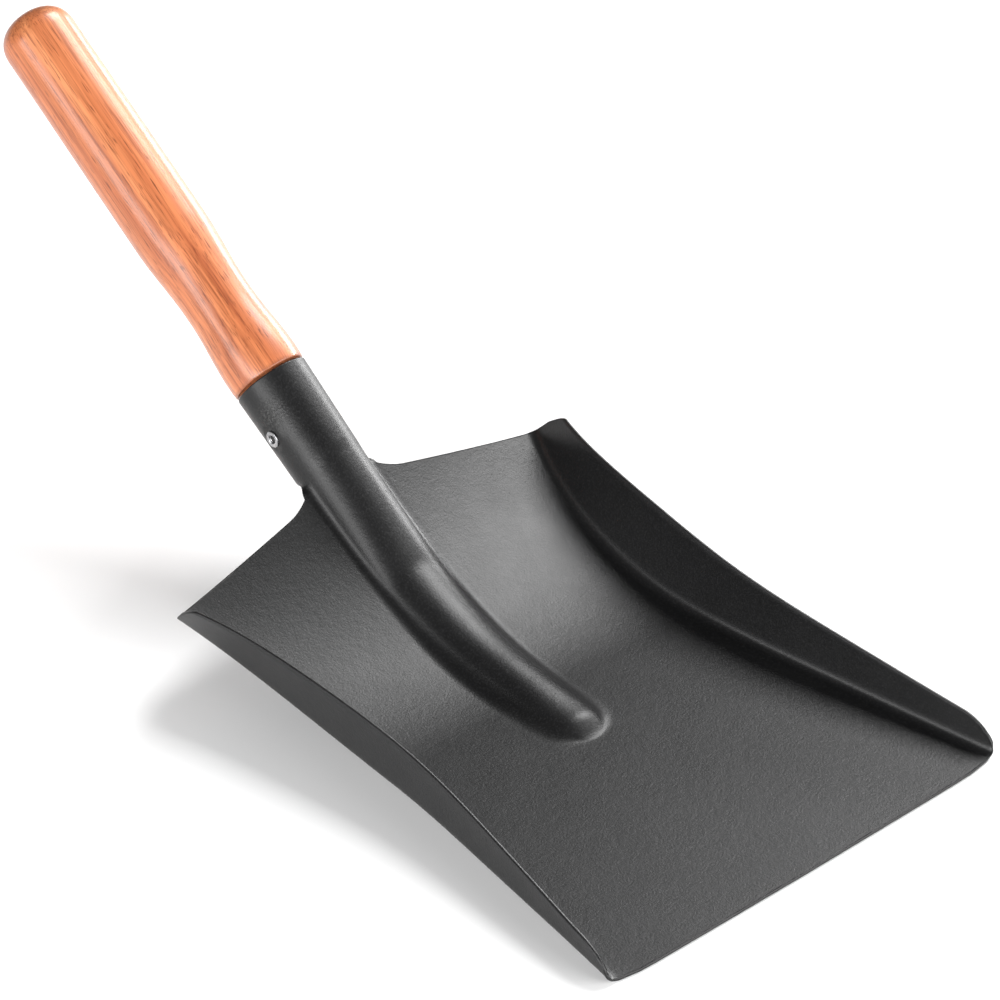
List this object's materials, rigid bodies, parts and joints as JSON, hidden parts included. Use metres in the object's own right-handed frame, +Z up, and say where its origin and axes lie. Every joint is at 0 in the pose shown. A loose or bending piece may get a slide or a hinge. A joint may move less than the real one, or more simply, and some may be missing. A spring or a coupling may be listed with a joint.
{
  "type": "hand scoop shovel",
  "caption": "Hand scoop shovel: a wide pressed-steel pan with low side walls and a central rib, running back into a rolled socket that holds a turned wooden handle.",
  "frame": {"origin": "middle of the shovel's footprint, on the plane that the flat floor of the pan rests on", "axes": "+Z up, -Y out of the pan's open mouth, +Y towards the handle's end, which rises at about 35 degrees, +X to the side of the rivet's domed head"},
  "size_m": [0.2234, 0.5038, 0.1978],
  "materials": {
    "black_powder_coat": "satin",
    "lacquered_wood": "gloss",
    "zinc_steel": "satin"
  },
  "bodies": {
    "root": {"blade": "black_powder_coat", "handle": "lacquered_wood", "rivet": "zinc_steel"}
  },
  "joints": []
}
